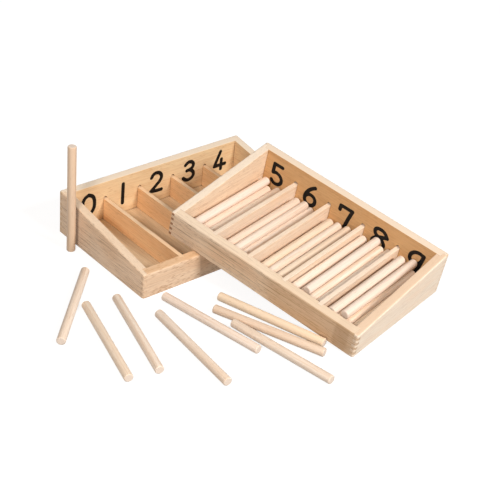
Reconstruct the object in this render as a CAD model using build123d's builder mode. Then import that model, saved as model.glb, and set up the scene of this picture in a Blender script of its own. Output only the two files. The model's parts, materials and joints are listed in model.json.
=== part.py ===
from build123d import *
import math
import os

os.makedirs("parts", exist_ok=True)

# A counting set: two open wooden boxes with five compartments each, and loose round spindles.
# The first box stands on the table. The second leans, with its underside on the first box's front
# board and its front right corner on the table, and holds stacks of five to nine spindles.
# The origin is on the table, under the middle of the first box's front board.
# X runs along the first box from left to right, Y from front to back, and Z is up.

# Spindles
spindle_diameter = 11.5
spindle_length = 154.0

# Room for the spindles in one compartment
spindles_across = 4
spindle_gap = 0.3
side_play = 2.9
end_play = 12.0

# Boards of one box
compartments = 5
board_thickness = 12.0
front_height = 34.5
back_height = 63.0
corner_radius = 3.0
outer_edge_radius = 2.5
inner_edge_radius = 0.8

# Finger joints at the corners
finger_levels = 9
finger_depth = 6.0

# Thin base panel, let into grooves in the four boards
panel_thickness = 3.0
panel_recess = 1.8
panel_seat = 4.0
groove_play = 0.2

# Dividers, let into the front and back boards
divider_thickness = 6.0
divider_seat = 4.0
divider_edge_radius = 0.6
slot_play = 0.1

# Where the second box leans: its lowest corner, measured from the first box's front left corner
second_corner_along = 137.5
second_corner_out = 235.6
second_heading = -78.35
lean_gap = 0.4

# Small distances between spindles and what they rest on or beside
seat_gap = 0.2
touch_gap = 0.5
standing_gap = 7.0

# Sizes that follow from the ones above
spindle_radius = spindle_diameter / 2
spindle_pitch = spindle_diameter + spindle_gap
compartment_width = spindles_across * spindle_pitch + spindle_gap + side_play
compartment_pitch = compartment_width + divider_thickness
inner_length = compartments * compartment_width + (compartments - 1) * divider_thickness
inner_depth = spindle_length + end_play
box_length = inner_length + 2 * board_thickness
box_depth = inner_depth + 2 * board_thickness
rim_slope = (back_height - front_height) / box_depth
finger_height = front_height / finger_levels
floor_top = panel_recess + panel_thickness
divider_height = front_height + rim_slope * board_thickness
divider_length = inner_depth + 2 * divider_seat
divider_places = [
    (number - compartments / 2) * compartment_pitch for number in range(1, compartments)
]
slot_width = divider_thickness + slot_play
panel_length = inner_length + 2 * panel_seat
panel_depth = inner_depth + 2 * panel_seat

# Solid wedge-shaped outline of one box: its rim slopes down from the back to the front
with BuildPart() as outline:
    with BuildSketch(Plane.YZ.offset(-box_length / 2)):
        with BuildLine():
            Polyline(
                (-box_depth / 2, 0),
                (box_depth / 2, 0),
                (box_depth / 2, back_height),
                (-box_depth / 2, front_height),
                close=True,
            )
        make_face()
    extrude(amount=box_length)
    fillet(outline.edges().filter_by(Axis.Z), radius=corner_radius)
    sloping_top = outline.faces().sort_by(Axis.Z)[-1]
    fillet(sloping_top.edges(), radius=outer_edge_radius)

# The ring that the four boards form together, with its inner rim edges softened
with BuildPart() as ring:
    add(outline.part)
    with BuildSketch(Plane.XY):
        Rectangle(inner_length, inner_depth)
    extrude(amount=back_height, mode=Mode.SUBTRACT)
    sloping_rim = ring.faces().filter_by(GeomType.PLANE).sort_by(Axis.Z)[-1]
    fillet(sloping_rim.inner_wires()[0].edges(), radius=inner_edge_radius)


def add_fingers(height, first_level, places):
    """Adds every second finger of a corner joint, from the given level up to the rim."""
    levels = round(height / finger_height)
    for level in range(first_level, levels, 2):
        top = back_height if level == levels - 1 else (level + 1) * finger_height
        with BuildSketch(Plane.XY.offset(level * finger_height)) as footprint:
            with Locations(*places):
                Rectangle(finger_depth, finger_depth)
        extrude(footprint.sketch, amount=top - level * finger_height)


def cut_panel_groove():
    """Cuts the groove for the base panel into the board being built."""
    with BuildSketch(Plane.XY.offset(panel_recess)) as footprint:
        Rectangle(panel_length + 2 * groove_play, panel_depth + 2 * groove_play)
    extrude(footprint.sketch, amount=panel_thickness + groove_play, mode=Mode.SUBTRACT)


def end_board(side):
    """End board on the left (side -1) or right (side 1), with fingers at both ends."""
    finger_x = side * (box_length - finger_depth) / 2
    finger_y = (box_depth - finger_depth) / 2
    with BuildPart() as board:
        with BuildSketch(Plane.XY):
            with Locations((side * (box_length - board_thickness) / 2, 0)):
                Rectangle(board_thickness, inner_depth)
            with Locations((finger_x, 0)):
                Rectangle(finger_depth, box_depth - 2 * finger_depth)
        extrude(amount=back_height)
        add_fingers(front_height, 0, [(finger_x, -finger_y)])
        add_fingers(back_height, 0, [(finger_x, finger_y)])
        add(ring.part, mode=Mode.INTERSECT)
        cut_panel_groove()
    return board


def long_board(side, height):
    """Front (side -1) or back (side 1) board, with fingers between those of the end boards."""
    finger_x = (box_length - finger_depth) / 2
    finger_y = side * (box_depth - finger_depth) / 2
    with BuildPart() as board:
        with BuildSketch(Plane.XY):
            with Locations((0, side * (box_depth - board_thickness) / 2)):
                Rectangle(box_length - 2 * finger_depth, board_thickness)
        extrude(amount=back_height)
        add_fingers(height, 1, [(-finger_x, finger_y), (finger_x, finger_y)])
        add(ring.part, mode=Mode.INTERSECT)
        cut_panel_groove()
    return board


def front_board():
    """Low front board, with divider slots that are open at the top."""
    blank = long_board(-1, front_height)
    with BuildPart() as board:
        add(blank.part)
        with BuildSketch(Plane.XY.offset(floor_top)):
            with Locations(*[(place, 0) for place in divider_places]):
                Rectangle(slot_width, divider_length + 2 * slot_play)
        extrude(amount=back_height, mode=Mode.SUBTRACT)
    return board


def back_board():
    """High back board, with divider slots that stop in a round end above the dividers."""
    slot_height = divider_height - floor_top
    blank = long_board(1, back_height)
    with BuildPart() as board:
        add(blank.part)
        with BuildSketch(Plane.XZ.offset(-inner_depth / 2)):
            with Locations(*[(place, floor_top + slot_height / 2) for place in divider_places]):
                Rectangle(slot_width, slot_height)
            with Locations(*[(place, divider_height) for place in divider_places]):
                Circle(slot_width / 2)
        extrude(amount=-(divider_seat + slot_play), mode=Mode.SUBTRACT)
    return board


def base_panel():
    """Thin panel that carries the spindles and the dividers."""
    with BuildPart() as panel:
        with BuildSketch(Plane.XY.offset(panel_recess)):
            Rectangle(panel_length, panel_depth)
        extrude(amount=panel_thickness)
    return panel


def divider(place):
    """Thin board between two compartments, with softened top edges and a bevelled front end."""
    with BuildPart() as board:
        with BuildSketch(Plane.XY.offset(floor_top)):
            with Locations((place, 0)):
                Rectangle(divider_thickness, divider_length)
        extrude(amount=divider_height - floor_top)
        top_face = board.faces().sort_by(Axis.Z)[-1]
        fillet(top_face.edges().filter_by(Axis.Y), radius=divider_edge_radius)
        add(outline.part, mode=Mode.INTERSECT)
    return board


def spindles(places):
    """Round rods, one on each plane, along the plane's normal."""
    with BuildPart(*places) as rods:
        Cylinder(spindle_radius, spindle_length)
    return rods


def write(name, piece):
    """Labels a finished piece and writes it under its name."""
    piece.part.label = name
    export_step(piece.part, f"parts/{name}.step")


# Where the two boxes stand. Each is built with its own origin at the middle of its underside.
first_box = Plane(origin=(0, (box_depth - board_thickness) / 2, 0))

# The second box's underside rises from the table over the first box's front board
lean_over_edge = math.atan2(front_height + lean_gap, second_corner_out)
lean_over_dividers = math.atan2(divider_height + lean_gap, second_corner_out + board_thickness)
lean = max(lean_over_edge, lean_over_dividers)
up_slope = Vector(0, math.cos(lean), math.sin(lean))
length_dir = (
    Vector(1, 0, 0) * math.cos(math.radians(second_heading))
    + up_slope * math.sin(math.radians(second_heading))
)
underside_normal = Vector(1, 0, 0).cross(up_slope)
depth_dir = underside_normal.cross(length_dir)
first_corner = first_box.from_local_coords(Vector(-box_length / 2, -box_depth / 2, 0))
second_corner = first_corner + Vector(second_corner_along, -second_corner_out, 0)
second_origin = second_corner - length_dir * (box_length / 2) + depth_dir * (box_depth / 2)
second_box = Plane(origin=second_origin, x_dir=length_dir, z_dir=underside_normal)

# Both boxes, piece by piece
box_pieces = {
    "front_board": front_board(),
    "back_board": back_board(),
    "left_end": end_board(-1),
    "right_end": end_board(1),
    "base_panel": base_panel(),
}
for number, place in enumerate(divider_places, start=1):
    box_pieces[f"divider_{number}"] = divider(place)

for box_name, box_place in {"first_box": first_box, "second_box": second_box}.items():
    for piece_name, box_piece in box_pieces.items():
        with BuildPart(box_place) as placed:
            add(box_piece.part)
        write(f"{box_name}_{piece_name}", placed)


def bottom_row(left_wall, room_shares):
    """Spindle centres on the floor; the shares split the free room before and between them."""
    count = len(room_shares) - 1
    free_room = compartment_width - count * spindle_pitch - spindle_gap
    height = floor_top + seat_gap + spindle_radius
    centres = []
    used_share = 0
    for index, room_share in enumerate(room_shares[:-1]):
        used_share += room_share
        across = left_wall + spindle_gap + spindle_radius + index * spindle_pitch
        centres.append((across + used_share * free_room, height))
    return centres


def nested(left, right):
    """Centre of a spindle that lies in the hollow between two others."""
    half = Vector(right[0] - left[0], right[1] - left[1]) / 2
    rise = math.sqrt(spindle_pitch**2 - half.length**2) / half.length
    return (left[0] + half.X - half.Y * rise, left[1] + half.Y + half.X * rise)


def against_wall(wall, side, lower):
    """Centre of a spindle that lies on another one and leans on a wall to its left or right."""
    across = wall + side * (spindle_gap + spindle_radius)
    return (across, lower[1] + math.sqrt(spindle_pitch**2 - (across - lower[0]) ** 2))


# The stacks of spindles, from the left compartment to the right one.
# Room shares: how the free room of the bottom row is split, from the left wall to the right one.
# End shares: how far each spindle's back end is from the back board, in shares of the play along
# it, from the bottom row to the top one.
stacks = {
    "five": {
        "room_shares": (0.4, 0, 0, 0.4, 0.2),
        "hollows": (0,),
        "end_shares": (0.3, 0.9, 0.2, 0.5, 0.72),
    },
    "six": {
        "room_shares": (0, 0, 0, 0.1, 0.9),
        "hollows": (0, 1),
        "end_shares": (0.4, 0.15, 0.05, 0.3, 0.95, 0.7),
    },
    "seven": {
        "room_shares": (0, 0, 0, 0.7, 0.3),
        "hollows": (0, 1, 2),
        "end_shares": (0.3, 0.5, 0.15, 0.6, 0.95, 0.75, 0.38),
    },
    "eight": {
        "room_shares": (0.15, 0.43, 0.04, 0.38),
        "hollows": (1,),
        "end_shares": (0.3, 0.5, 0.2, 0.48, 0.7, 0.3, 0.08, 0.08),
    },
    "nine": {
        "room_shares": (0.4, 0, 0.26, 0.34),
        "hollows": (0, 1),
        "end_shares": (0.4, 0.2, 0.5, 0.6, 0.3, 0.75, 0.2, 0.85, 0.1),
    },
}


def in_second_box(centre, end_share):
    """Plane of a stacked spindle: its normal runs from the second box's front to its back."""
    from_back = end_share * end_play
    middle = Vector(centre[0], (inner_depth - spindle_length) / 2 - from_back, centre[1])
    return Plane(
        origin=second_box.from_local_coords(middle),
        x_dir=length_dir,
        z_dir=depth_dir,
    )


for index, (stack_name, stack) in enumerate(stacks.items()):
    left_wall = -inner_length / 2 + index * compartment_pitch
    right_wall = left_wall + compartment_width
    low = bottom_row(left_wall, stack["room_shares"])
    if len(low) == spindles_across:
        # Four lie on the floor, each in a node of its own, and the rest in hollows between them
        top = [nested(low[hollow], low[hollow + 1]) for hollow in stack["hollows"]]
        layers = {"low": [[centre] for centre in low], "top": [[centre] for centre in top]}
    else:
        # Three lie on the floor as one node, with four more over the whole width
        middle = [
            against_wall(left_wall, 1, low[0]),
            nested(low[0], low[1]),
            nested(low[1], low[2]),
            against_wall(right_wall, -1, low[2]),
        ]
        top = [nested(middle[hollow], middle[hollow + 1]) for hollow in stack["hollows"]]
        layers = {
            "low": [low],
            "middle": [[centre] for centre in middle],
            "top": [[centre] for centre in top],
        }
    end_shares = iter(stack["end_shares"])
    for layer_name, layer in layers.items():
        for number, group in enumerate(layer, start=1):
            planes = [in_second_box(centre, next(end_shares)) for centre in group]
            write(f"spindles_{stack_name}_{layer_name}_{number}", spindles(planes))


def lying(middle, heading):
    """Plane of a spindle that lies on the table with its middle at a place on the floor."""
    angle = math.radians(heading)
    return Plane(
        origin=(middle.X, middle.Y, spindle_radius),
        z_dir=(math.cos(angle), math.sin(angle), 0),
    )


# Spindles that lie near the first box's front left corner: how far their middles are to the right
# of it and behind it, in shares of a spindle's length, and their headings in degrees
strewn_shares = {
    "a": (-0.536, 0.198, -134.6),
    "b": (-0.586, -0.332, -105.4),
    "c": (-0.333, -0.383, -106.1),
    "d": (0.227, -0.59, -79.8),
    "e": (-0.088, -0.762, -95.3),
}
for name, (right_share, behind_share, heading) in strewn_shares.items():
    middle = first_corner + Vector(right_share, behind_share, 0) * spindle_length
    write(f"spindle_loose_{name}", spindles([lying(middle, heading)]))

# Spindles that lie beside the second box, by their ends nearest to its lowest corner: how far they
# are along its front face and off it, and how far they turn away from it
face_out = Vector(-depth_dir.X, -depth_dir.Y, 0).normalized()
face_along = face_out.rotate(Axis.Z, 90)
face_heading = math.degrees(math.atan2(face_along.Y, face_along.X))
f_turn = 5.4
g_turn = 9.0
h_turn = -2.5
f_end_share = 0.242
g_end_share = 0.166
g_off_share = 1.9
h_along_share = 0.221


def beside_second_box(near_end, turn):
    """Middle of a spindle on the table, from its near end and its turn off the front face."""
    toward = face_along.rotate(Axis.Z, turn)
    return near_end - toward * (spindle_length / 2)


f_end = second_corner - face_along * f_end_share * spindle_length
f_end = f_end + face_out * (spindle_radius + touch_gap)
f_middle = beside_second_box(f_end, f_turn)
g_end = second_corner - face_along * g_end_share * spindle_length
g_end = g_end + face_out * g_off_share * spindle_diameter
g_middle = beside_second_box(g_end, g_turn)

# The last one's far end touches the side of the one before
g_toward = face_along.rotate(Axis.Z, g_turn)
h_start = g_middle + g_toward * (h_along_share - 1 / 2) * spindle_length
h_start = h_start - g_toward.rotate(Axis.Z, 90) * spindle_pitch
h_middle = h_start + face_along.rotate(Axis.Z, h_turn) * (spindle_length / 2)

write("spindle_loose_f", spindles([lying(f_middle, face_heading + f_turn)]))
write("spindle_loose_g", spindles([lying(g_middle, face_heading + g_turn)]))
write("spindle_loose_h", spindles([lying(h_middle, face_heading + h_turn)]))

# One spindle stands upright beside the first box's left end
standing_share = 0.747
standing_place = first_corner + Vector(
    -standing_gap - spindle_radius, standing_share * box_depth, spindle_length / 2
)
write("spindle_standing", spindles([Plane(origin=standing_place)]))
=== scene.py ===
"""Two beech spindle boxes for counting from nought to nine, with their turned spindles.

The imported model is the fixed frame. The boards are its own shapes with their arrises eased, the
spindles are turned afresh with softened ends, and the numerals are painted on the tall back boards.
"""
import json
import logging
import math
from dataclasses import dataclass, replace
from enum import Enum
from typing import Any

import bmesh
import bpy
import numpy as np
from bpy.types import Material, Node, NodeSocket, NodeTree, Object
from mathutils import Color, Euler, Matrix, Quaternion, Vector


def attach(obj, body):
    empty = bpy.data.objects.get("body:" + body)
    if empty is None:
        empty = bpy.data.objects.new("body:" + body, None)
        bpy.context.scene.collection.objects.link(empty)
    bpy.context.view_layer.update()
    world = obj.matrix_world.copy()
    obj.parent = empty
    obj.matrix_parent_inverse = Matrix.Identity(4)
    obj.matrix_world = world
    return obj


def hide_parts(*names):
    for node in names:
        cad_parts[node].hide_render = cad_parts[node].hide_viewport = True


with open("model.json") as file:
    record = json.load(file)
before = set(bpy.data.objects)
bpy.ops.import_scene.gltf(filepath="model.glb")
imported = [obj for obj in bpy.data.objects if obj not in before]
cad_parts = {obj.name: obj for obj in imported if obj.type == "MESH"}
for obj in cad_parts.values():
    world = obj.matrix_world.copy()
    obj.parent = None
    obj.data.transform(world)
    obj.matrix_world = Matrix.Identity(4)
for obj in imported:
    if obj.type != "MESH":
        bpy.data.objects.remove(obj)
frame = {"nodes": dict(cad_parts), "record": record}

Pair = tuple[float, float]
Triple = tuple[float, float, float]
Tone = tuple[float, float, float, float]
Stroke = list[Pair]
Rod = tuple[Vector, Vector]

LOG = logging.getLogger("spindle_boxes")
MM = 0.001
SPINDLE_LENGTH = 154.0
SPINDLE_RADIUS = 5.75
WHITE = (1.0, 1.0, 1.0, 1.0)
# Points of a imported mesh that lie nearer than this, in metres, are one point
SAME_POINT = 2e-6


def tone(code: str) -> Tone:
    """Turns the six hexadecimal digits of a screen colour into the colour that a shader takes."""
    screen = Color([int(code[start:start + 2], 16) / 255 for start in (0, 2, 4)])
    return (*screen.from_srgb_to_scene_linear(), 1.0)


class Grain(Enum):
    """Which way the fibres of a board run, in the box's own directions."""

    ALONG = "along"
    BACK = "back"


@dataclass(frozen=True)
class BoxPlace:
    """Where a box stands: its front left bottom corner, its heading and how far it leans."""

    corner: Triple
    heading: float
    lean: float

    def turn(self) -> Matrix:
        """Returns the rotation from the box's own directions to the frame's."""
        tilt = Matrix.Rotation(math.radians(self.lean), 4, "X")
        return tilt @ Matrix.Rotation(math.radians(self.heading), 4, "Z")

    def matrix(self) -> Matrix:
        """Returns the full placement of the box, in metres."""
        return Matrix.Translation(Vector(self.corner) * MM) @ self.turn()

    def grain_angles(self, grain: Grain) -> Euler:
        """Returns the angles that bring fibres of a grain onto the first axis."""
        quarter = Matrix.Rotation(math.radians(-90 if grain is Grain.BACK else 0), 3, "Z")
        return (quarter @ self.turn().to_3x3().transposed()).to_euler("XYZ")

    def up(self) -> Vector:
        """Returns the direction that the open top of the box faces."""
        return (self.turn().to_3x3() @ Vector((0, 0, 1))).normalized()

    def fibre(self, grain: Grain) -> Vector:
        """Returns the direction of the fibres in the frame."""
        own = Vector((1, 0, 0)) if grain is Grain.ALONG else Vector((0, 1, 0))
        return (self.turn().to_3x3() @ own).normalized()


FIRST_PLACE = BoxPlace(corner=(-150.0, -6.0, 0.0), heading=0.0, lean=0.0)
SECOND_PLACE = BoxPlace(corner=(-73.08, 49.04, 43.08), heading=-78.35, lean=8.4313)


@dataclass(frozen=True)
class Cloud:
    """A cloudy figure: its size in millimetres, its stirring, and the range of it that shows."""

    length: float
    width: float
    shift: float = 0.0
    detail: float = 3.0
    rough: float = 0.5
    warp: float = 0.0
    low: float = 0.0
    high: float = 1.0


BANDS = Cloud(260.0, 7.0, shift=3.1, rough=0.55, warp=0.35, low=0.3, high=0.7)
FIBRES = Cloud(24.0, 0.9, shift=7.7, rough=0.6, low=0.42, high=0.72)
LINES = Cloud(110.0, 2.2, shift=9.1, rough=0.65, low=0.52, high=0.68)
FLECK_SCATTER = Cloud(60.0, 14.0, shift=5.3, detail=2.0, low=0.3, high=0.52)
BOARD_PATCHES = Cloud(90.0, 45.0, shift=2.2, detail=2.0, low=0.48, high=0.8)
BOARD_PORES = Cloud(30.0, 0.7, shift=4.4, rough=0.7, low=0.35, high=0.7)
STAIN_EDGE = Cloud(22.0, 1.1, shift=6.1, detail=2.0)
SPINDLE_PATCHES = Cloud(120.0, 9.0, shift=2.2, detail=2.0, low=0.45, high=0.8)
SPINDLE_PORES = replace(BOARD_PORES, width=0.5)
INK_STREAKS = Cloud(9.0, 0.6, shift=1.2, rough=0.6, low=0.45, high=0.8)
PAPER_FIBRES = Cloud(3.0, 3.0)


@dataclass(frozen=True)
class Skin:
    """A surface's relief, as a depth in millimetres and a strength, its shine and its roughness."""

    depth: float
    strength: float
    shine: float
    smoothest: float
    roughest: float


BOARD_SKIN = Skin(depth=0.12, strength=0.6, shine=0.3, smoothest=0.45, roughest=0.62)
SPINDLE_SKIN = replace(BOARD_SKIN, depth=0.1)
INK_SKIN = Skin(depth=0.1, strength=0.5, shine=0.2, smoothest=0.5, roughest=0.7)
PAPER_SKIN = Skin(depth=0.02, strength=0.2, shine=0.1, smoothest=0.9, roughest=0.9)


class NodeBench:
    """Lays nodes into one tree and joins them."""

    shift_shares: Triple = (1.0, 0.7, 1.3)
    speck_edge: float = 0.5
    gloss_range: Pair = (0.2, 0.8)

    def __init__(self, tree: NodeTree) -> None:
        """Empties the tree to start on."""
        self.tree = tree
        tree.nodes.clear()

    def lay(self, kind: str, feeds: dict[Any, Any] | None = None, **settings: Any) -> Node:
        """Adds one node.

        Args:
            kind: the node's type.
            feeds: what goes into its sockets, by socket name or number.
            settings: its other properties.

        Returns:
            The new node.
        """
        node = self.tree.nodes.new(kind)
        for key, value in settings.items():
            setattr(node, key, value)
        for key, value in (feeds or {}).items():
            self.feed(node.inputs[key], value)
        return node

    def feed(self, socket: NodeSocket, value: Any) -> None:
        """Joins a socket to another, or sets its value.

        Args:
            socket: the socket to feed.
            value: another node's output, or a plain value.
        """
        if isinstance(value, NodeSocket):
            self.tree.links.new(value, socket)
        else:
            socket.default_value = value

    def sum(self, kind: str, first: Any, second: Any = 0.0, clamp: bool = False) -> NodeSocket:
        """Works out one piece of arithmetic, of a kind that the Math node names."""
        return self.lay("ShaderNodeMath", {0: first, 1: second}, operation=kind, use_clamp=clamp).outputs[0]

    def times(self, first: Any, second: Any) -> NodeSocket:
        """Multiplies two values."""
        return self.sum("MULTIPLY", first, second)

    def minus(self, first: Any, second: Any) -> NodeSocket:
        """Takes the second value from the first."""
        return self.sum("SUBTRACT", first, second)

    def divided(self, first: Any, second: Any) -> NodeSocket:
        """Divides the first value by the second."""
        return self.sum("DIVIDE", first, second)

    def vector(self, kind: str, first: Any, second: Any = (0.0, 0.0, 0.0)) -> NodeSocket:
        """Works out one piece of arithmetic on places, of a kind that the Vector Math node names."""
        node = self.lay("ShaderNodeVectorMath", {0: first, 1: second}, operation=kind)
        return node.outputs["Value" if kind in ("DOT_PRODUCT", "LENGTH") else "Vector"]

    def split(self, place: NodeSocket) -> list[NodeSocket]:
        """Takes a place apart into its three numbers."""
        return list(self.lay("ShaderNodeSeparateXYZ", {0: place}).outputs)

    def joined(self, first: Any, second: Any, third: Any) -> NodeSocket:
        """Puts three numbers together into a place."""
        return self.lay("ShaderNodeCombineXYZ", {0: first, 1: second, 2: third}).outputs[0]

    def spread(self, value: Any, low: float, high: float, base: float = 0.0, top: float = 1.0) -> NodeSocket:
        """Spreads a value smoothly from the range low to high onto the range base to top."""
        feeds = {"Value": value, "From Min": low, "From Max": high, "To Min": base, "To Max": top}
        return self.lay("ShaderNodeMapRange", feeds, interpolation_type="SMOOTHSTEP").outputs[0]

    def blend(self, share: Any, under: Any, over: Any) -> NodeSocket:
        """Mixes a share of one colour over another."""
        node = self.lay("ShaderNodeMix", {0: share, 6: under, 7: over}, data_type="RGBA")
        return node.outputs[2]

    def glaze(self, under: Any, mask: Any, share: float, over: Any) -> NodeSocket:
        """Mixes a share of one colour over another where the mask is one."""
        return self.blend(self.times(mask, share), under, over)

    def stretched(self, place: Any, lengths: Triple, shift: float = 0.0) -> NodeSocket:
        """Measures a place in lengths of a figure, given in millimetres, from its shifted start."""
        scale, move = [1 / (MM * size) for size in lengths], [shift * share for share in self.shift_shares]
        return self.lay("ShaderNodeMapping", {"Vector": place, "Location": move, "Scale": scale}).outputs[0]

    def cloud(self, place: Any, cloud: Cloud) -> NodeSocket:
        """Gives the value of a cloudy figure, from nought to one.

        Args:
            place: the place on the piece, with the fibres along the first axis.
            cloud: the figure.

        Returns:
            The value.
        """
        spot = self.stretched(place, (cloud.length, cloud.width, cloud.width), cloud.shift)
        feeds = {"Vector": spot, "Scale": 1.0, "Detail": cloud.detail, "Roughness": cloud.rough}
        return self.lay("ShaderNodeTexNoise", {**feeds, "Distortion": cloud.warp}).outputs["Fac"]

    def shown(self, place: Any, cloud: Cloud) -> NodeSocket:
        """Gives the part of a cloudy figure that shows, from nought to one."""
        return self.spread(self.cloud(place, cloud), cloud.low, cloud.high)

    def specks(self, place: Any, size: float) -> NodeSocket:
        """Gives one on a mark round each of many scattered points, and nought off it."""
        near = self.lay("ShaderNodeTexVoronoi", {"Vector": place, "Scale": 1.0}).outputs["Distance"]
        return self.spread(near, size * (1 + self.speck_edge), size * (1 - self.speck_edge))

    def gloss(self, figure: Any, skin: Skin) -> NodeSocket:
        """Gives a roughness that follows a figure."""
        return self.spread(figure, *self.gloss_range, skin.smoothest, skin.roughest)

    def show(self, shader: NodeSocket) -> None:
        """Ends a material's tree with its shader."""
        self.lay("ShaderNodeOutputMaterial", {"Surface": shader})

    def surface(self, colour: Any, gloss: Any, height: Any, skin: Skin) -> NodeSocket:
        """Lays the shader of a surface with its fine relief.

        Args:
            colour: its colour.
            gloss: its roughness.
            height: the value that its relief follows.
            skin: how deep the relief is, and how strongly the surface shines.

        Returns:
            The shader.
        """
        bump = {"Height": height, "Distance": skin.depth * MM, "Strength": skin.strength}
        normal = self.lay("ShaderNodeBump", bump).outputs[0]
        feeds = {"Base Color": colour, "Roughness": gloss, "Normal": normal, "Specular IOR Level": skin.shine}
        return self.lay("ShaderNodeBsdfPrincipled", feeds).outputs[0]

    def seen_by_eye(self) -> NodeSocket:
        """Tells rays that show the background from rays that light the toy.

        Returns:
            One for a ray from the camera, a reflection or glass, and nought for any other.
        """
        path = self.lay("ShaderNodeLightPath").outputs
        shiny = self.sum("MAXIMUM", path["Is Glossy Ray"], path["Is Transmission Ray"])
        return self.sum("MAXIMUM", path["Is Camera Ray"], shiny)

    def named_inputs(self, kinds: dict[str, str]) -> dict[str, NodeSocket]:
        """Gives a geometry tree its named inputs and its one output.

        Args:
            kinds: the kind of each input, by name.

        Returns:
            The inputs inside the tree, by name.
        """
        for name, kind in kinds.items():
            self.tree.interface.new_socket(name, in_out="INPUT", socket_type=f"NodeSocket{kind}")
        self.tree.interface.new_socket("Piece", in_out="OUTPUT", socket_type="NodeSocketGeometry")
        given = self.lay("NodeGroupInput")
        return {name: given.outputs[name] for name in kinds}

    def read(self, name: str, kind: str = "FLOAT") -> NodeSocket:
        """Reads the value that each point holds under a name."""
        return self.lay("GeometryNodeInputNamedAttribute", {"Name": name}, data_type=kind).outputs[0]

    def stored(self, points: Any, name: str, value: Any, kind: str = "FLOAT") -> NodeSocket:
        """Stores a value on each point under a name."""
        feeds = {"Geometry": points, "Name": name, "Value": value}
        return self.lay("GeometryNodeStoreNamedAttribute", feeds, data_type=kind, domain="POINT").outputs[0]

    def end(self, geometry: NodeSocket, material: NodeSocket) -> None:
        """Ends a geometry tree with plain faces of one material.

        Args:
            geometry: what the tree has made.
            material: its material.
        """
        whole = self.lay("GeometryNodeRealizeInstances", {"Geometry": geometry})
        dressed = self.lay("GeometryNodeSetMaterial", {"Geometry": whole.outputs[0], "Material": material})
        self.lay("NodeGroupOutput", {0: dressed.outputs[0]})


def new_material(name: str) -> tuple[Material, NodeBench]:
    """Starts a material.

    Args:
        name: its name.

    Returns:
        The material and its bench.
    """
    material = bpy.data.materials.new(name)
    material.use_nodes = True
    return material, NodeBench(material.node_tree)


@dataclass(frozen=True)
class Stain:
    """A darker patch of heartwood on a board, placed in millimetres in the box's own directions."""

    middle: Triple
    reach: Triple
    shade: str
    share: float
    ragged: float = 0.6
    fade: Pair = (1.45, 1.05)


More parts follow.
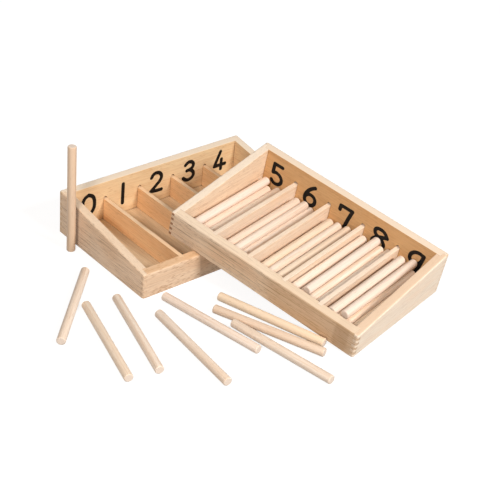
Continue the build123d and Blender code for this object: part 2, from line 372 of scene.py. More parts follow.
@dataclass(frozen=True)
class WoodFinish:
    """A sanded wood: its tones, and the strength of its figure."""

    name: str
    pale: str
    deep: str
    warm: str
    fleck: str
    end: str
    figure: float = 0.5
    bands: Cloud = BANDS
    fibres: Cloud = FIBRES
    lines: Cloud = LINES
    ring_count: float = 34.0
    ring_share: float = 0.35
    warm_share: float = 0.55
    streak_share: float = 0.45
    line_share: float = 0.25
    fleck_strength: float = 0.5
    fleck_reach: float = 0.2
    fleck_length: float = 13.0
    fleck_width: float = 1.3
    fleck_shift: float = 1.9
    fleck_depth: float = 0.6
    # Painted top light and shade: faces that look up take this tone, paler than the board on most finishes
    # and darker on some, for how light falls on the tops
    painted_top: str = "F8EAD9"
    painted_top_share: float = 0.75
    painted_top_facing: Pair = (0.6, 0.97)
    end_share: float = 0.35
    end_facing: Pair = (0.72, 0.94)
    pore_share: float = 0.45
    stains: tuple[Stain, ...] = ()
    wear_reach: float = 0.9
    wear_turn: Pair = (0.99, 0.8)
    wear_share: float = 0.3
    wear_samples: int = 4
    # Painted shade in the creases: its tone, reach, openness range, share and samples
    gap_shade: str = "6E4020"
    gap_shade_reach: float = 3.0
    gap_shade_openness: Pair = (0.75, 0.25)
    gap_shade_share: float = 0.6
    gap_shade_samples: int = 6
    plank_start: Triple = (0.0, 0.05, -0.4)
    plank_step: Triple = (0.37, 0.11, 0.23)

    def colour(self, bench: NodeBench, place: Any, patch: Any) -> tuple[NodeSocket, NodeSocket, NodeSocket]:
        """Lays the figure along the fibres, one glaze over another.

        Args:
            bench: the tree's bench.
            place: the place on the piece, with the fibres along the first axis.
            patch: a value from nought to one that turns the tone warmer in patches.

        Returns:
            The colour, the fine fibre value and the fleck value.
        """
        bands = bench.cloud(place, self.bands)
        fibres = bench.cloud(place, self.fibres)
        rings = bench.spread(bench.sum("SINE", bench.times(bands, self.ring_count)), -1.0, 1.0)
        streaks = bench.spread(fibres, self.fibres.low, self.fibres.high)
        fleck_size = (self.fleck_length, self.fleck_width, self.fleck_width)
        flecks = bench.specks(bench.stretched(place, fleck_size, self.fleck_shift), self.fleck_reach)
        flecks = bench.times(flecks, bench.shown(place, FLECK_SCATTER))
        glazes = (
            (bench.spread(bands, self.bands.low, self.bands.high), self.figure, self.deep),
            (rings, self.figure * self.ring_share, self.deep),
            (patch, self.warm_share, self.warm),
            (streaks, self.figure * self.streak_share, self.fleck),
            (bench.shown(place, self.lines), self.line_share, self.fleck),
            (flecks, self.fleck_strength, self.fleck),
        )
        colour = tone(self.pale)
        for mask, share, shade in glazes:
            colour = bench.glaze(colour, mask, share, tone(shade))
        return colour, fibres, flecks

    def sawn(self, bench: NodeBench, place: Any, pores: Cloud, dark: str) -> NodeSocket:
        """Gives the tone of sawn end grain, darker in its pores."""
        return bench.glaze(tone(self.end), bench.shown(place, pores), self.pore_share, tone(dark))

    def finish(self, bench: NodeBench, colour: Any, fibres: Any, flecks: Any, skin: Skin) -> None:
        """Ends the tree with a surface whose gloss and relief follow the fibres and the flecks."""
        height = bench.minus(fibres, bench.times(flecks, self.fleck_depth))
        bench.show(bench.surface(colour, bench.gloss(fibres, skin), height, skin))

    def board(self, place: BoxPlace, grain: Grain, seed: int) -> Material:
        """Makes the material of one board.

        Args:
            place: where the board's box stands.
            grain: which way the board's fibres run.
            seed: picks the board's own figure.

        Returns:
            The material.
        """
        material, bench = new_material(f"{self.name}_{seed:02d}")
        spot = bench.lay("ShaderNodeTexCoord").outputs
        turn = place.grain_angles(grain)
        cut = [start + step * seed for start, step in zip(self.plank_start, self.plank_step)]
        feeds = {"Vector": spot["Object"], "Rotation": turn, "Location": cut}
        along = bench.lay("ShaderNodeMapping", feeds).outputs[0]
        colour, fibres, flecks = self.colour(bench, along, bench.shown(along, BOARD_PATCHES))
        for stain in self.stains:
            middle = turn.to_matrix() @ (place.matrix() @ (Vector(stain.middle) * MM)) + Vector(cut)
            colour = self.stained(bench, colour, along, middle, stain)
        facing = bench.sum("ABSOLUTE", bench.vector("DOT_PRODUCT", spot["Normal"], place.fibre(grain)))
        sawn = self.sawn(bench, along, BOARD_PORES, self.fleck)
        colour = bench.glaze(colour, bench.spread(facing, *self.end_facing), self.end_share, sawn)
        # Painted top light and shade: faces that look up are given their own tone
        upward = bench.vector("DOT_PRODUCT", spot["Normal"], place.up())
        painted_top = bench.spread(upward, *self.painted_top_facing, 0.0, self.painted_top_share)
        colour = bench.blend(painted_top, colour, tone(self.painted_top))
        # Paler worn edges, then painted shade in the creases
        colour = self.shaded_gaps(bench, self.worn(bench, colour))
        self.finish(bench, colour, fibres, flecks, BOARD_SKIN)
        return material

    def stained(self, bench: NodeBench, colour: Any, along: Any, middle: Vector, stain: Stain) -> NodeSocket:
        """Lays one darker patch of heartwood.

        Args:
            bench: the tree's bench.
            colour: the colour so far.
            along: the place on the board, with the fibres along the first axis.
            middle: the middle of the patch, in the same directions.
            stain: the patch.

        Returns:
            The colour with its patch.
        """
        far = bench.vector("LENGTH", bench.stretched(bench.vector("SUBTRACT", along, middle), stain.reach))
        ragged = bench.times(bench.cloud(along, STAIN_EDGE), stain.ragged)
        near = bench.spread(bench.sum("ADD", far, ragged), *stain.fade)
        return bench.glaze(colour, near, stain.share, tone(stain.shade))

    def worn(self, bench: NodeBench, colour: Any) -> NodeSocket:
        """Pales the edges, where hands have polished them.

        Args:
            bench: the tree's bench.
            colour: the colour so far.

        Returns:
            The colour with its paler edges.
        """
        rounded = bench.lay("ShaderNodeBevel", {"Radius": self.wear_reach * MM}, samples=self.wear_samples)
        face = bench.lay("ShaderNodeNewGeometry").outputs["Normal"]
        match = bench.vector("DOT_PRODUCT", rounded.outputs[0], face)
        edge = bench.spread(match, *self.wear_turn, 0.0, self.wear_share)
        return bench.blend(edge, colour, tone(self.pale))

    def shaded_gaps(self, bench: NodeBench, colour: Any) -> NodeSocket:
        """Paints shade into the narrow creases between boards, where ambient occlusion finds them closed in.

        Args:
            bench: the tree's bench.
            colour: the colour so far.

        Returns:
            The colour with painted shade in its creases.
        """
        # Painted shade: the less open a point is within this reach, the more the dark crease tone covers it
        feeds = {"Distance": self.gap_shade_reach * MM}
        openness = bench.lay("ShaderNodeAmbientOcclusion", feeds, samples=self.gap_shade_samples).outputs["AO"]
        gap_shade = bench.spread(openness, *self.gap_shade_openness, 0.0, self.gap_shade_share)
        return bench.blend(gap_shade, colour, tone(self.gap_shade))


@dataclass(frozen=True)
class TurnedBeech(WoodFinish):
    """Beech turned to a dowel, whose figure follows each spindle."""

    pink: str = "FBE8DE"
    pink_share: float = 0.75
    honey: str = "F6DEBE"
    honey_share: float = 0.8
    plain_hue: float = 0.5
    depth_share: float = 0.9
    number_share: float = 0.37
    cap_start: float = 0.35
    cap_full: float = 0.1
    cap_share: float = 0.9
    length: float = SPINDLE_LENGTH

    def spindle(self) -> Material:
        """Makes the material of every spindle, which differs from one to the next.

        Returns:
            The material.
        """
        material, bench = new_material(self.name)
        place = bench.lay("ShaderNodeAttribute", attribute_name="rod_place").outputs["Vector"]
        names = ("hue", "depth", "number")
        held = [bench.lay("ShaderNodeAttribute", attribute_name=f"rod_{name}") for name in names]
        hue, depth, number = (node.outputs["Fac"] for node in held)
        offset = bench.joined(number, bench.times(number, self.number_share), number)
        spot = bench.vector("ADD", place, offset)
        colour, fibres, flecks = self.colour(bench, spot, bench.shown(spot, SPINDLE_PATCHES))
        pink = bench.spread(hue, self.plain_hue, 0.0, 0.0, self.pink_share)
        honey = bench.spread(hue, self.plain_hue, 1.0, 0.0, self.honey_share)
        colour = bench.blend(pink, colour, tone(self.pink))
        colour = bench.blend(honey, colour, tone(self.honey))
        colour = bench.glaze(colour, depth, self.depth_share, tone(self.deep))
        half = self.length / 2
        reach = bench.sum("ABSOLUTE", bench.split(place)[0])
        cap = bench.spread(reach, (half - self.cap_start) * MM, (half - self.cap_full) * MM)
        colour = bench.glaze(colour, cap, self.cap_share, self.sawn(bench, spot, SPINDLE_PORES, self.deep))
        self.finish(bench, colour, fibres, flecks, SPINDLE_SKIN)
        return material


BEECH = WoodFinish(
    name="beech_board", pale="F3DBC2", deep="E2C09E", warm="E6BA90", fleck="A8774C", end="BF946A",
    fleck_strength=0.55,
)
FLECKED_BEECH = replace(
    BEECH, name="beech_flecked", pale="EED5BB", deep="DDBA98", warm="E1B48A", fleck="AC7E56", painted_top="DFB386",
    painted_top_share=0.6, end_share=0.2, line_share=0.3,
    fleck_strength=0.95, fleck_reach=0.3, fleck_length=9.0, fleck_width=1.15,
)
LINED_BEECH = replace(
    BEECH, name="beech_lined", pale="F9DFC4", deep="E8C39E", fleck="8E694A", painted_top="F3DCC2",
    painted_top_share=0.6, end_share=0.2, fleck_width=0.9,
    lines=replace(LINES, length=45.0, width=0.9), line_share=0.75,
)
GREY_BEECH = replace(
    BEECH, name="beech_grey", pale="F2DDC5", deep="DCBD9B", fleck="866748", painted_top="F4DFC6",
    painted_top_share=0.65, end_share=0.25, fleck_strength=0.75, fleck_width=1.2,
    lines=replace(LINES, length=80.0, width=1.4), line_share=0.75,
    stains=(
        Stain(middle=(235.0, 0.0, 16.0), reach=(75.0, 60.0, 60.0), shade="C39560", share=0.4),
        Stain(middle=(277.0, 0.0, 16.0), reach=(11.0, 40.0, 40.0), shade="9A6C3E", share=0.28),
    ),
)
HONEY_BEECH = replace(
    BEECH, name="beech_honey", pale="EED3AB", deep="E4BD90", warm="E1B481", fleck="B47E4C", line_share=0.15,
)
AMBER_BEECH = replace(
    BEECH, name="beech_amber", pale="DFB684", deep="CF9D69", warm="CB945D", end="FFF0DC", end_share=0.9,
    line_share=0.3,
)
WHITE_BEECH = replace(
    BEECH, name="beech_white", pale="FFF2E0", deep="FFE8D0", warm="FFE0C2", painted_top="E0BFA0",
    line_share=0.15, fleck_strength=0.2,
)
DARK_FINGERS = replace(
    BEECH, name="beech_dark_fingers", pale="FCE8D0", deep="F2D5B5", warm="F0CCA2", end="8A5836",
    end_share=0.9, painted_top_share=0.6,
)
# Painted shade: the first box's dividers take a deeper, more orange copy of the beech, for the warm shade on
# their faces
SHADED_DIVIDER = replace(
    BEECH, name="beech_divider", pale="F8D0A2", deep="EBB884", warm="E9AF75", painted_top="F2D9BC", painted_top_share=0.5,
    fleck_strength=0.45,
)
# Painted light: the second box's dividers take a paler copy of the beech, for the light on their faces
LIT_DIVIDER = replace(
    BEECH, name="beech_divider_pale", pale="F9E8D6", deep="F0D6BA", warm="F1CEAA", fleck="B78E66",
    painted_top_share=0.2, fleck_strength=0.4,
)
PLYWOOD = WoodFinish(
    name="plywood", pale="F1DAB9", deep="E0C49F", warm="E5C9A5", fleck="9C7D4D", end="B08A58",
    figure=0.6, bands=replace(BANDS, length=180.0, width=14.0), fleck_strength=0.25, painted_top_share=0.0,
)
TURNED_BEECH = TurnedBeech(
    name="turned_beech", pale="FEF2E6", deep="D9B590", warm="F6DEC6", fleck="B98A62", end="F0E3D8",
    figure=0.4, bands=replace(BANDS, width=4.0), fibres=replace(FIBRES, length=30.0),
    fleck_strength=0.4, pore_share=0.4,
)
FIRST_FINISHES = {
    "front_board": FLECKED_BEECH,
    "back_board": HONEY_BEECH,
    "left_end": LINED_BEECH,
    "right_end": HONEY_BEECH,
    "divider": SHADED_DIVIDER,
}
SECOND_FINISHES = {
    "front_board": GREY_BEECH,
    "back_board": AMBER_BEECH,
    "left_end": DARK_FINGERS,
    "right_end": WHITE_BEECH,
    "divider": LIT_DIVIDER,
}


@dataclass(frozen=True)
class InkFinish:
    """Black printing ink that has sunk a little into the wood."""

    name: str = "numeral_ink"
    body: str = "0D0B0A"
    thin: str = "211C18"

    def material(self, place: BoxPlace) -> Material:
        """Makes the ink for one box's numerals.

        Args:
            place: where the box stands.

        Returns:
            The material.
        """
        material, bench = new_material(self.name)
        spot = bench.lay("ShaderNodeTexCoord").outputs["Object"]
        along = bench.lay("ShaderNodeMapping", {"Vector": spot, "Rotation": place.grain_angles(Grain.ALONG)})
        streaks = bench.cloud(along.outputs[0], INK_STREAKS)
        thin = bench.spread(streaks, INK_STREAKS.low, INK_STREAKS.high)
        colour = bench.blend(thin, tone(self.body), tone(self.thin))
        bench.show(bench.surface(colour, bench.gloss(streaks, INK_SKIN), streaks, INK_SKIN))
        return material


@dataclass(frozen=True)
class PaperFinish:
    """White paper under and round the toy, which still takes a shadow."""

    name: str = "white_paper"
    shade: str = "929090"
    lift: float = 0.85

    def material(self) -> Material:
        """Makes the paper.

        Returns:
            The material.
        """
        material, bench = new_material(self.name)
        fibres = bench.cloud(bench.lay("ShaderNodeTexCoord").outputs["Object"], PAPER_FIBRES)
        plain = bench.surface(tone(self.shade), PAPER_SKIN.roughest, fibres, PAPER_SKIN)
        glow = bench.lay("ShaderNodeEmission", {"Color": WHITE, "Strength": self.lift})
        lifted = bench.lay("ShaderNodeAddShader", {0: plain, 1: glow.outputs[0]})
        shown = bench.lay("ShaderNodeMixShader", {0: bench.seen_by_eye(), 1: plain, 2: lifted.outputs[0]})
        bench.show(shown.outputs[0])
        return material


def placed(name: str, data: Any) -> Object:
    """Puts a new object into the scene.

    Args:
        name: its name.
        data: its mesh, curve, lamp or camera.

    Returns:
        The object.
    """
    thing = bpy.data.objects.new(name, data)
    bpy.context.scene.collection.objects.link(thing)
    return thing


def made(source: Object, tree: NodeTree, values: dict[str, Any], name: str) -> Object:
    """Runs a geometry tree on an object and keeps the result as a plain mesh under a new name.

    Args:
        source: the object, which is removed.
        tree: the tree.
        values: the value of each of its named inputs.
        name: the new piece's name.

    Returns:
        The new piece.
    """
    modifier = source.modifiers.new("maker", "NODES")
    modifier.node_group = tree
    for item in tree.interface.items_tree:
        if item.in_out == "INPUT" and item.name in values:
            modifier[item.identifier] = values[item.name]
    graph = bpy.context.evaluated_depsgraph_get()
    seen = source.evaluated_get(graph)
    mesh = bpy.data.meshes.new_from_object(seen, preserve_all_data_layers=True, depsgraph=graph)
    bpy.data.objects.remove(source)
    mesh.name = name
    return placed(name, mesh)


def frame_body(node: str) -> str:
    """Names the body that a node rides on."""
    bodies = frame["record"]["behaviour"]["bodies"]
    return next(body for body, nodes in bodies.items() if node in nodes)


@dataclass
class JoineryBox:
    """One box: its finger-jointed boards, its plywood base and its four dividers."""

    name: str
    place: BoxPlace
    finishes: dict[str, WoodFinish]
    seed: int
    dividers: int = 4
    slot: str = "beech_boards"
    base_slot: str = "plywood_base"
    flat_angle: float = 0.3
    arris: float = 0.18
    arris_steps: int = 2
    arris_angle: float = 32.0

    def build(self) -> None:
        """Dresses every board of the box."""
        for index, (part, grain, finish, slot) in enumerate(self.boards()):
            node = f"{self.name}_{part}"
            piece = self.eased(node)
            piece.data.materials.append(finish.board(self.place, grain, self.seed + index))
            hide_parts(node)
            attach(piece, frame_body(node))
            LOG.info("%s: %d faces, fibres run %s", piece.name, len(piece.data.polygons), grain.value)

    def boards(self) -> list[tuple[str, Grain, WoodFinish, str]]:
        """Lists the boards.

        Returns:
            Each board's name, grain, finish and slot.
        """
        sides = {Grain.ALONG: ("front_board", "back_board"), Grain.BACK: ("left_end", "right_end")}
        found = []
        for grain, parts in sides.items():
            found += [(part, grain, self.finishes[part], self.slot) for part in parts]
        found.append(("base_panel", Grain.BACK, PLYWOOD, self.base_slot))
        for number in range(1, self.dividers + 1):
            found.append((f"divider_{number}", Grain.BACK, self.finishes["divider"], self.slot))
        return found

    def eased(self, node: str) -> Object:
        """Makes a board from its merged shape, with its arrises just broken.

        Args:
            node: the board's node.

        Returns:
            The new piece.
        """
        shape = bmesh.new()
        shape.from_mesh(frame["nodes"][node].data)
        bmesh.ops.remove_doubles(shape, verts=shape.verts, dist=SAME_POINT)
        flat = math.radians(self.flat_angle)
        bmesh.ops.dissolve_limit(shape, angle_limit=flat, verts=shape.verts, edges=shape.edges)
        places = [vertex.co.copy() for vertex in shape.verts]
        shape.verts.index_update()
        faces = [[vertex.index for vertex in face.verts] for face in shape.faces]
        shape.free()
        mesh = bpy.data.meshes.new(f"{node}_wood")
        mesh.from_pydata(places, [], faces)
        mesh.shade_smooth()
        piece = placed(f"{node}_wood", mesh)
        bevel = piece.modifiers.new("broken_arris", "BEVEL")
        bevel.width = self.arris * MM
        bevel.segments = self.arris_steps
        bevel.limit_method = "ANGLE"
        bevel.angle_limit = math.radians(self.arris_angle)
        bevel.harden_normals = True
        return piece


@dataclass
class NumeralRow:
    """The painted numerals of one box, on the inner face of its back board.

    Each numeral is a list of pen strokes, and each stroke a list of points in millimetres,
    measured along the box and up from its underside.
    """

    name: str
    place: BoxPlace
    strokes: dict[str, list[Stroke]]
    slot: str = "beech_boards"
    face_back: float = 178.0
    pen_radius: float = 2.75
    paint: float = 0.12
    margin: float = 4.0
    curve_steps: int = 12
    cell: float = 0.45
    kept_cells: float = 0.75
    drawn_cells: float = 0.76
    merged_cells: float = 0.2
    seam: float = 0.01

    def build(self, body: str) -> None:
        """Paints every numeral of the row.

        Args:
            body: the body that carries the back board.
        """
        tree = self.pen_tree()
        ink = InkFinish().material(self.place)
        for word, strokes in self.strokes.items():
            piece = self.numeral(word, strokes, tree, ink)
            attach(piece, body)
            LOG.info("%s: %d faces from %d strokes", piece.name, len(piece.data.polygons), len(strokes))

    def numeral(self, word: str, strokes: list[Stroke], tree: NodeTree, ink: Material) -> Object:
        """Makes one numeral.

        Args:
            word: the numeral as a word.
            strokes: its pen strokes.
            tree: the tree that gives a stroke its width.
            ink: the ink.

        Returns:
            The numeral as a plain mesh in its place.
        """
        points = [point for stroke in strokes for point in stroke]
        low = [min(point[axis] for point in points) - self.margin for axis in (0, 1)]
        high = [max(point[axis] for point in points) + self.margin for axis in (0, 1)]
        line = self.centre_line(word, strokes)
        settings = {
            "Pen radius": self.pen_radius * MM,
            "Paint": self.paint * MM,
            "Cell": self.cell * MM,
            "Middle": ((low[0] + high[0]) / 2 * MM, (low[1] + high[1]) / 2 * MM, 0.0),
            "Width": (high[0] - low[0]) * MM,
            "Height": (high[1] - low[1]) * MM,
            "Ink": ink,
        }
        piece = made(line, tree, settings, f"{self.name}_numeral_{word}")
        piece.data.transform(self.place.matrix() @ self.upright())
        piece.data.update()
        return piece

    def upright(self) -> Matrix:
        """Returns the turn that stands the flat numeral on the back board's inner face."""
        return Matrix(((1, 0, 0, 0), (0, 0, -1, self.face_back * MM), (0, 1, 0, 0), (0, 0, 0, 1)))

    def centre_line(self, word: str, strokes: list[Stroke]) -> Object:
        """Draws the path of the pen as a mesh of edges.

        Args:
            word: the numeral as a word.
            strokes: its pen strokes.

        Returns:
            The path.
        """
        curve = bpy.data.curves.new(f"{word}_path", "CURVE")
        curve.dimensions = "3D"
        curve.resolution_u = self.curve_steps
        for stroke in strokes:
            spline = curve.splines.new("BEZIER")
            spline.bezier_points.add(len(stroke) - 1)
            for point, (along, up) in zip(spline.bezier_points, stroke):
                point.co = (along * MM, up * MM, 0.0)
                point.handle_left_type = point.handle_right_type = "AUTO"
        drawn = placed(f"{word}_path", curve)
        graph = bpy.context.evaluated_depsgraph_get()
        mesh = bpy.data.meshes.new_from_object(drawn.evaluated_get(graph))
        bpy.data.objects.remove(drawn)
        return placed(f"{word}_line", mesh)

    def pen_tree(self) -> NodeTree:
        """Builds the tree that turns a path into a round-ended stroke of even width.

        A fine grid is kept where it lies within the pen's radius of the path. The vertices near the
        stroke's edge are drawn onto it, and the flat shape is given the thickness of the paint.

        Returns:
            The tree.
        """
        tree = bpy.data.node_groups.new(f"{self.name}_pen", "GeometryNodeTree")
        bench = NodeBench(tree)
        given = bench.named_inputs({
            "Path": "Geometry", "Pen radius": "Float", "Paint": "Float", "Cell": "Float",
            "Middle": "Vector", "Width": "Float", "Height": "Float", "Ink": "Material",
        })
        feeds = {}
        for axis, side in (("X", "Width"), ("Y", "Height")):
            feeds[f"Size {axis}"] = given[side]
            feeds[f"Vertices {axis}"] = bench.sum("CEIL", bench.divided(given[side], given["Cell"]))
        grid = bench.lay("GeometryNodeMeshGrid", feeds).outputs["Mesh"]
        moved = bench.lay("GeometryNodeTransform", {"Geometry": grid, "Translation": given["Middle"]})
        near = bench.lay("GeometryNodeProximity", {"Target": given["Path"]}, target_element="EDGES").outputs
        gap = bench.minus(near["Distance"], given["Pen radius"])
        beyond = bench.sum("GREATER_THAN", gap, bench.times(given["Cell"], self.kept_cells))
        feeds = {"Geometry": moved.outputs[0], "Selection": beyond}
        kept = bench.lay("GeometryNodeDeleteGeometry", feeds, domain="POINT")
        spot = bench.lay("GeometryNodeInputPosition").outputs[0]
        unit = bench.vector("NORMALIZE", bench.vector("SUBTRACT", spot, near["Position"]))
        reach = bench.lay("ShaderNodeVectorMath", {0: unit, "Scale": given["Pen radius"]}, operation="SCALE")
        onto = bench.vector("ADD", near["Position"], reach.outputs[0])
        drawn = bench.times(given["Cell"], self.drawn_cells)
        close = bench.sum("LESS_THAN", bench.sum("ABSOLUTE", gap), drawn)
        feeds = {"Geometry": kept.outputs[0], "Selection": close, "Position": onto}
        edged = bench.lay("GeometryNodeSetPosition", feeds).outputs[0]
        feeds = {"Geometry": edged, "Distance": bench.times(given["Cell"], self.merged_cells)}
        flat = bench.lay("GeometryNodeMergeByDistance", feeds).outputs[0]
        feeds = {"Mesh": flat, "Offset Scale": given["Paint"], "Individual": False}
        raised = bench.lay("GeometryNodeExtrudeMesh", feeds, mode="FACES").outputs["Mesh"]
        under = bench.lay("GeometryNodeFlipFaces", {"Mesh": flat}).outputs["Mesh"]
        both = bench.lay("GeometryNodeJoinGeometry")
        for face in (raised, under):
            tree.links.new(face, both.inputs[0])
        feeds = {"Geometry": both.outputs[0], "Distance": self.seam * MM}
        bench.end(bench.lay("GeometryNodeMergeByDistance", feeds).outputs[0], given["Ink"])
        return tree


@dataclass
class SpindleStore:
    """Every turned spindle, body by body."""

    tones: dict[str, Pair]
    length: float = SPINDLE_LENGTH
    radius: float = SPINDLE_RADIUS
    rounding: float = 1.5
    sides: int = 40
    rounding_steps: int = 4
    seed: int = 11
    stray: float = 0.1
    cap_facing: float = 0.999
    order_digits: int = 4
    slot: str = "turned_beech"

    def build(self) -> None:
        """Turns the spindles of every body and lays them in place."""
        tree = self.lathe_tree()
        wood = TURNED_BEECH.spindle()
        count = 0
        for body, nodes in frame["record"]["behaviour"]["bodies"].items():
            own = [node for node in nodes if node.startswith("spindle")]
            if not own:
                continue
            rods = [rod for node in own for rod in self.rods(node)]
            piece = self.turned(body, rods, tree, wood, count)
            count += len(rods)
            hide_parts(*own)
            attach(piece, body)
            LOG.info("%s: %d spindles", piece.name, len(rods))

    def rods(self, node: str) -> list[Rod]:
        """Finds the middle and the direction of each rod in a node.

        The points are taken in their stored order and a direction leads to the end whose coordinates
        add up to more, so that every run lays a rod's figure the same way round.

        Args:
            node: the node's name.

        Returns:
            Each rod's middle and unit direction.
        """
        shape = bmesh.new()
        shape.from_mesh(frame["nodes"][node].data)
        bmesh.ops.remove_doubles(shape, verts=shape.verts, dist=SAME_POINT)
        left = dict.fromkeys(shape.verts)
        found = []
        while left:
            reach = [left.popitem()[0]]
            island = []
            while reach:
                vertex = reach.pop()
                island.append(vertex.co.copy())
                for edge in vertex.link_edges:
                    other = edge.other_vert(vertex)
                    if other in left:
                        del left[other]
                        reach.append(other)
            points = np.array(island)
            spread = points - points.mean(0)
            side = spread @ np.linalg.svd(spread, full_matrices=False)[2][0] > 0
            near, far = sorted((points[side].mean(0), points[~side].mean(0)), key=sum)
            found.append((Vector((near + far) / 2), Vector(far - near).normalized()))
        shape.free()
        found.sort(key=lambda rod: [round(value, self.order_digits) for value in rod[0]])
        return found

    def turned(self, body: str, rods: list[Rod], tree: NodeTree, wood: Material, first: int) -> Object:
        """Makes the spindles of one body.

        Args:
            body: the body's name.
            rods: each rod's middle and direction.
            tree: the tree that turns a spindle at each point.
            wood: the wood.
            first: the number of the first of these rods.

        Returns:
            The spindles as one plain mesh.
        """
        mesh = bpy.data.meshes.new(f"{body}_middles")
        mesh.from_pydata([middle for middle, _ in rods], [], [])
        headings = mesh.attributes.new("heading", "FLOAT_VECTOR", "POINT")
        headings.data.foreach_set("vector", [value for _, heading in rods for value in heading])
        hue, depth = self.tones[body]
        numbers = [float(first + index) for index in range(len(rods))]
        held = {"number": numbers, "hue": [hue] * len(rods), "depth": [depth] * len(rods)}
        for name, values in held.items():
            mesh.attributes.new(name, "FLOAT", "POINT").data.foreach_set("value", values)
        source = placed(f"{body}_middles", mesh)
        sizes = {"Length": self.length, "Radius": self.radius, "Rounding": self.rounding}
        settings = {name: size * MM for name, size in sizes.items()}
        settings |= {"Sides": self.sides, "Steps": self.rounding_steps, "Seed": self.seed, "Wood": wood}
        return made(source, tree, settings, f"{body}_spindles")

    def lathe_tree(self) -> NodeTree:
        """Builds the tree that turns a round-ended spindle and lays one at each point.

        Returns:
            The tree.
        """
        tree = bpy.data.node_groups.new("spindle_lathe", "GeometryNodeTree")
        bench = NodeBench(tree)
        given = bench.named_inputs({
            "Middles": "Geometry", "Length": "Float", "Radius": "Float", "Rounding": "Float",
            "Sides": "Int", "Steps": "Int", "Seed": "Int", "Wood": "Material",
        })
        rings = bench.sum("ADD", bench.times(given["Steps"], 2), 1)
        size = {"Radius": given["Radius"], "Depth": given["Length"]}
        feeds = {"Vertices": given["Sides"], "Side Segments": rings, **size}
        blank = bench.lay("GeometryNodeMeshCylinder", feeds, fill_type="NGON").outputs["Mesh"]
        rounded = self.rounded_ends(bench, blank, given, rings)
        side, other, along = bench.split(bench.lay("GeometryNodeInputPosition").outputs[0])
        marked = bench.stored(rounded, "rod_place", bench.joined(along, side, other), "FLOAT_VECTOR")
        heading = bench.read("heading", "FLOAT_VECTOR")
        pointed = bench.lay("FunctionNodeAlignRotationToVector", {"Vector": heading}, axis="Z")
        number = bench.read("number")
        angle = self.chance(bench, number, given["Seed"], (0.0, math.tau), 0)
        roll = bench.lay("FunctionNodeAxisAngleToRotation", {"Axis": (0, 0, 1), "Angle": angle})
        feeds = {"Rotation": pointed.outputs[0], "Rotate By": roll.outputs[0]}
        rolled = bench.lay("FunctionNodeRotateRotation", feeds, rotation_space="LOCAL")
        points = given["Middles"]
        for salt, name in enumerate(("hue", "depth"), start=1):
            stray = self.chance(bench, number, given["Seed"], (-self.stray, self.stray), salt)
            value = bench.sum("ADD", bench.read(name), stray, clamp=True)
            points = bench.stored(points, f"rod_{name}", value)
        points = bench.stored(points, "rod_number", number)
        feeds = {"Points": points, "Instance": marked, "Rotation": rolled.outputs[0]}
        laid = bench.lay("GeometryNodeInstanceOnPoints", feeds)
        bench.end(laid.outputs[0], given["Wood"])
        return tree

    def rounded_ends(self, bench: NodeBench, blank: Any, given: dict[str, Any], rings: Any) -> NodeSocket:
        """Draws the rings near each end of the blank onto a quarter circle.

        Args:
            bench: the tree's bench.
            blank: the plain blank.
            given: the tree's inputs.
            rings: how many rings of faces the blank has.

        Returns:
            The rounded blank, smooth but for its flat ends.
        """
        side, other, along = bench.split(bench.lay("GeometryNodeInputPosition").outputs[0])
        share = bench.sum("ADD", bench.divided(along, given["Length"]), 0.5)
        ring = bench.sum("ROUND", bench.times(share, rings))
        step = bench.sum("MINIMUM", ring, bench.minus(rings, ring))
        angle = bench.times(bench.divided(step, given["Steps"]), math.pi / 2)
        inset = bench.times(given["Rounding"], bench.minus(1.0, bench.sum("COSINE", angle)))
        waste = bench.times(given["Rounding"], bench.minus(1.0, bench.sum("SINE", angle)))
        half = bench.minus(bench.divided(given["Length"], 2.0), inset)
        height = bench.times(half, bench.sum("SIGN", along))
        narrow = bench.divided(bench.minus(given["Radius"], waste), given["Radius"])
        spot = bench.joined(bench.times(side, narrow), bench.times(other, narrow), height)
        shaped = bench.lay("GeometryNodeSetPosition", {"Geometry": blank, "Position": spot})
        lift = bench.sum("ABSOLUTE", bench.split(bench.lay("GeometryNodeInputNormal").outputs[0])[2])
        flat = bench.sum("GREATER_THAN", lift, self.cap_facing)
        feeds = {"Geometry": shaped.outputs[0], "Shade Smooth": bench.minus(1.0, flat)}
        return bench.lay("GeometryNodeSetShadeSmooth", feeds, domain="FACE").outputs[0]

    def chance(self, bench: NodeBench, number: Any, seed: Any, reach: Pair, salt: int) -> NodeSocket:
        """Draws a fixed random value for each rod.

        Args:
            bench: the tree's bench.
            number: the rod's number.
            seed: the tree's seed.
            reach: the least and the greatest value.
            salt: sets one draw apart from another.

        Returns:
            The value.
        """
        node = bench.lay("FunctionNodeRandomValue", data_type="FLOAT")
        sockets = {socket.identifier: socket for socket in node.inputs}
        feeds = {"Min_001": reach[0], "Max_001": reach[1], "ID": number, "Seed": bench.sum("ADD", seed, salt)}
        for name, value in feeds.items():
            bench.feed(sockets[name], value)
        return next(socket for socket in node.outputs if socket.identifier == "Value_001")


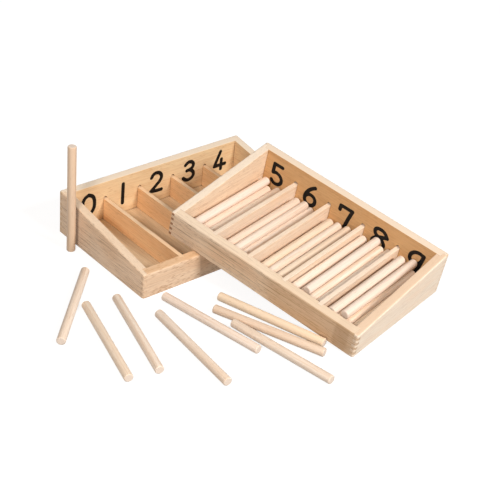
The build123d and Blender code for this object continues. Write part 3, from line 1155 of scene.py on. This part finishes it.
@dataclass
class Studio:
    """The floor, the sky, the lamps and the camera."""

    eye: Triple = (-0.99360, -1.10739, 0.96579)
    aim: Triple = (0.01514, -0.01421, 0.02)
    roll: float = 5.4826
    lens: float = 97.379
    sensor: float = 36.0
    sight: float = 50.0
    floor_radius: float = 9.0
    sky: float = 0.22
    sky_tone: str = "FAF3EC"
    lamp_tone: str = "FFFAF4"
    lamp_size: float = 0.6
    key_place: Triple = (0.518, -2.381, 1.911)
    key_power: float = 65.0
    side_place: Triple = (-2.119, -1.349, 1.782)
    side_power: float = 46.0

    def build(self) -> None:
        """Sets up the whole studio."""
        self.floor()
        self.world()
        self.lamp("key_lamp", self.key_place, self.key_power)
        self.lamp("side_lamp", self.side_place, self.side_power)
        self.camera()
        bpy.context.scene.view_settings.view_transform = "Standard"
        LOG.info("studio: floor, sky, lamps and camera")

    def floor(self) -> None:
        """Lays the paper floor."""
        edge = self.floor_radius
        mesh = bpy.data.meshes.new("paper_floor")
        places = [(-edge, -edge, 0), (edge, -edge, 0), (edge, edge, 0), (-edge, edge, 0)]
        mesh.from_pydata(places, [], [(0, 1, 2, 3)])
        mesh.materials.append(PaperFinish().material())
        placed("paper_floor", mesh)

    def world(self) -> None:
        """Lights the toy from all round, behind a plain white that the camera sees."""
        world = bpy.data.worlds.new("white_room")
        world.use_nodes = True
        bpy.context.scene.world = world
        bench = NodeBench(world.node_tree)
        soft = bench.lay("ShaderNodeBackground", {"Color": tone(self.sky_tone), "Strength": self.sky})
        white = bench.lay("ShaderNodeBackground", {"Color": WHITE, "Strength": 1.0})
        feeds = {0: bench.seen_by_eye(), 1: soft.outputs[0], 2: white.outputs[0]}
        shown = bench.lay("ShaderNodeMixShader", feeds)
        bench.lay("ShaderNodeOutputWorld", {"Surface": shown.outputs[0]})

    def hang(self, name: str, data: Any, place: Triple, roll: float = 0.0) -> Object:
        """Hangs a lamp or a camera at a place, so that it faces the toy.

        Args:
            name: its name.
            data: the lamp or the camera.
            place: where it hangs, in metres.
            roll: how far it is turned about its own line of sight, in degrees.

        Returns:
            The object.
        """
        hung = placed(name, data)
        hung.location = place
        hung.rotation_mode = "QUATERNION"
        facing = (Vector(self.aim) - Vector(place)).to_track_quat("-Z", "Y")
        hung.rotation_quaternion = facing @ Quaternion((0, 0, 1), math.radians(roll))
        return hung

    def lamp(self, name: str, place: Triple, power: float) -> None:
        """Hangs one square soft lamp that faces the toy.

        Args:
            name: the lamp's name.
            place: where it hangs, in metres.
            power: its power, in watts.
        """
        light = bpy.data.lights.new(name, "AREA")
        light.shape = "SQUARE"
        light.size = self.lamp_size
        light.energy = power
        light.color = tone(self.lamp_tone)[:3]
        self.hang(name, light, place)

    def camera(self) -> None:
        """Puts the camera at the photograph's angle."""
        data = bpy.data.cameras.new("view")
        data.sensor_width = self.sensor
        data.lens = self.lens
        data.clip_end = self.sight
        bpy.context.scene.camera = self.hang("view", data, self.eye, self.roll)


# Each body's spindle tone: from pink through plain to honey, and from pale to deep
SPINDLE_TONES = {
    "five_top": (0.3, 0.1),
    "five_low_pair": (0.35, 0.3),
    "five_low_third": (0.45, 0.2),
    "five_low_right": (0.6, 0.4),
    "six_top_left": (0.35, 0.3),
    "six_top_right": (0.3, 0.0),
    "six_low_row": (0.35, 0.1),
    "six_low_right": (0.45, 0.2),
    "seven_top_left": (0.8, 0.2),
    "seven_top_middle": (0.3, 0.0),
    "seven_top_right": (0.8, 0.3),
    "seven_low_row": (0.5, 0.3),
    "eight_top": (0.25, 0.1),
    "eight_middle_left": (0.35, 0.0),
    "eight_middle_pair": (0.4, 0.15),
    "eight_middle_right": (0.6, 0.1),
    "eight_low_row": (0.7, 0.1),
    "nine_top_left": (0.25, 0.05),
    "nine_top_right": (0.2, 0.0),
    "nine_middle_row": (0.5, 0.3),
    "nine_middle_right": (0.8, 0.25),
    "nine_low_row": (0.65, 0.2),
    "loose_a": (0.5, 0.0),
    "loose_b": (0.7, 0.1),
    "loose_c": (0.6, 0.0),
    "loose_d": (0.35, 0.0),
    "loose_e": (0.4, 0.2),
    "loose_f": (0.85, 0.15),
    "loose_g": (0.45, 0.4),
    "loose_h": (0.6, 0.2),
    "standing": (0.45, 0.8),
}
FIRST_STROKES = {
    "zero": [[
        (38.5, 48.8), (45.2, 44.6), (47.9, 34.0), (45.2, 23.4), (38.5, 19.2),
        (31.8, 23.4), (29.1, 34.0), (31.8, 44.6), (38.5, 48.8),
    ]],
    "one": [[(94.1, 49.2), (93.8, 20.0)]],
    "two": [
        [
            (141.7, 44.0), (145.0, 48.5), (150.8, 49.8), (156.5, 47.0),
            (158.6, 41.5), (156.3, 36.2), (151.0, 31.0), (141.3, 22.8),
        ],
        [(141.3, 22.8), (150.0, 21.6), (159.3, 21.3)],
    ],
    "three": [
        [
            (200.0, 46.8), (203.2, 49.4), (207.5, 50.3), (212.0, 48.4),
            (214.0, 44.0), (211.5, 39.8), (206.5, 37.8), (203.0, 37.3),
        ],
        [
            (206.5, 37.8), (211.5, 35.6), (214.9, 30.0), (212.8, 24.6),
            (207.5, 22.3), (201.6, 23.1), (197.2, 26.6),
        ],
    ],
    "four": [
        [(262.3, 51.0), (252.6, 29.2)],
        [(252.6, 29.2), (271.8, 29.5)],
        [(264.9, 38.2), (264.6, 22.7)],
    ],
}
SECOND_STROKES = {
    "five": [
        [(40.2, 46.7), (26.9, 46.6)],
        [(26.9, 46.6), (26.5, 32.6)],
        [
            (26.5, 32.6), (30.0, 33.9), (34.0, 34.0), (39.6, 31.3), (42.5, 25.4),
            (40.2, 19.6), (34.4, 17.0), (29.5, 18.0), (26.4, 20.6),
        ],
    ],
    "six": [[
        (96.3, 46.9), (90.2, 42.0), (85.4, 35.0), (83.1, 26.6), (85.5, 19.6), (91.8, 17.2),
        (98.0, 19.6), (100.3, 25.3), (98.0, 31.0), (91.8, 33.2), (86.2, 31.0), (83.1, 26.6),
    ]],
    "seven": [
        [(139.3, 39.2), (139.8, 46.0)],
        [(139.8, 46.0), (158.6, 46.2)],
        [(158.6, 46.2), (155.0, 32.0), (152.1, 17.6)],
    ],
    "eight": [[
        (217.0, 38.7), (211.6, 44.4), (204.6, 46.2), (198.6, 44.4), (197.0, 40.2), (199.6, 36.0),
        (206.0, 33.4), (212.2, 29.8), (214.6, 24.6), (211.6, 19.0), (205.2, 16.8), (198.4, 18.8),
        (196.2, 24.0), (199.4, 30.0), (206.4, 34.8), (217.0, 38.7),
    ]],
    "nine": [
        [
            (273.4, 45.4), (264.6, 46.2), (257.0, 42.4), (254.2, 35.0),
            (257.4, 29.2), (263.4, 28.2), (270.0, 33.0), (273.4, 45.4),
        ],
        [(273.4, 45.4), (271.4, 32.0), (268.2, 17.8)],
    ],
}


def main() -> None:
    """Builds the boxes, the numerals, the spindles and the studio."""
    logging.basicConfig(level=logging.INFO, format="%(message)s")
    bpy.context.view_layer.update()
    JoineryBox("first_box", FIRST_PLACE, FIRST_FINISHES, seed=1).build()
    JoineryBox("second_box", SECOND_PLACE, SECOND_FINISHES, seed=21).build()
    NumeralRow("first", FIRST_PLACE, FIRST_STROKES).build("first_box")
    NumeralRow("second", SECOND_PLACE, SECOND_STROKES).build("second_box")
    SpindleStore(tones=SPINDLE_TONES).build()
    Studio().build()


if __name__ == "__main__":
    main()
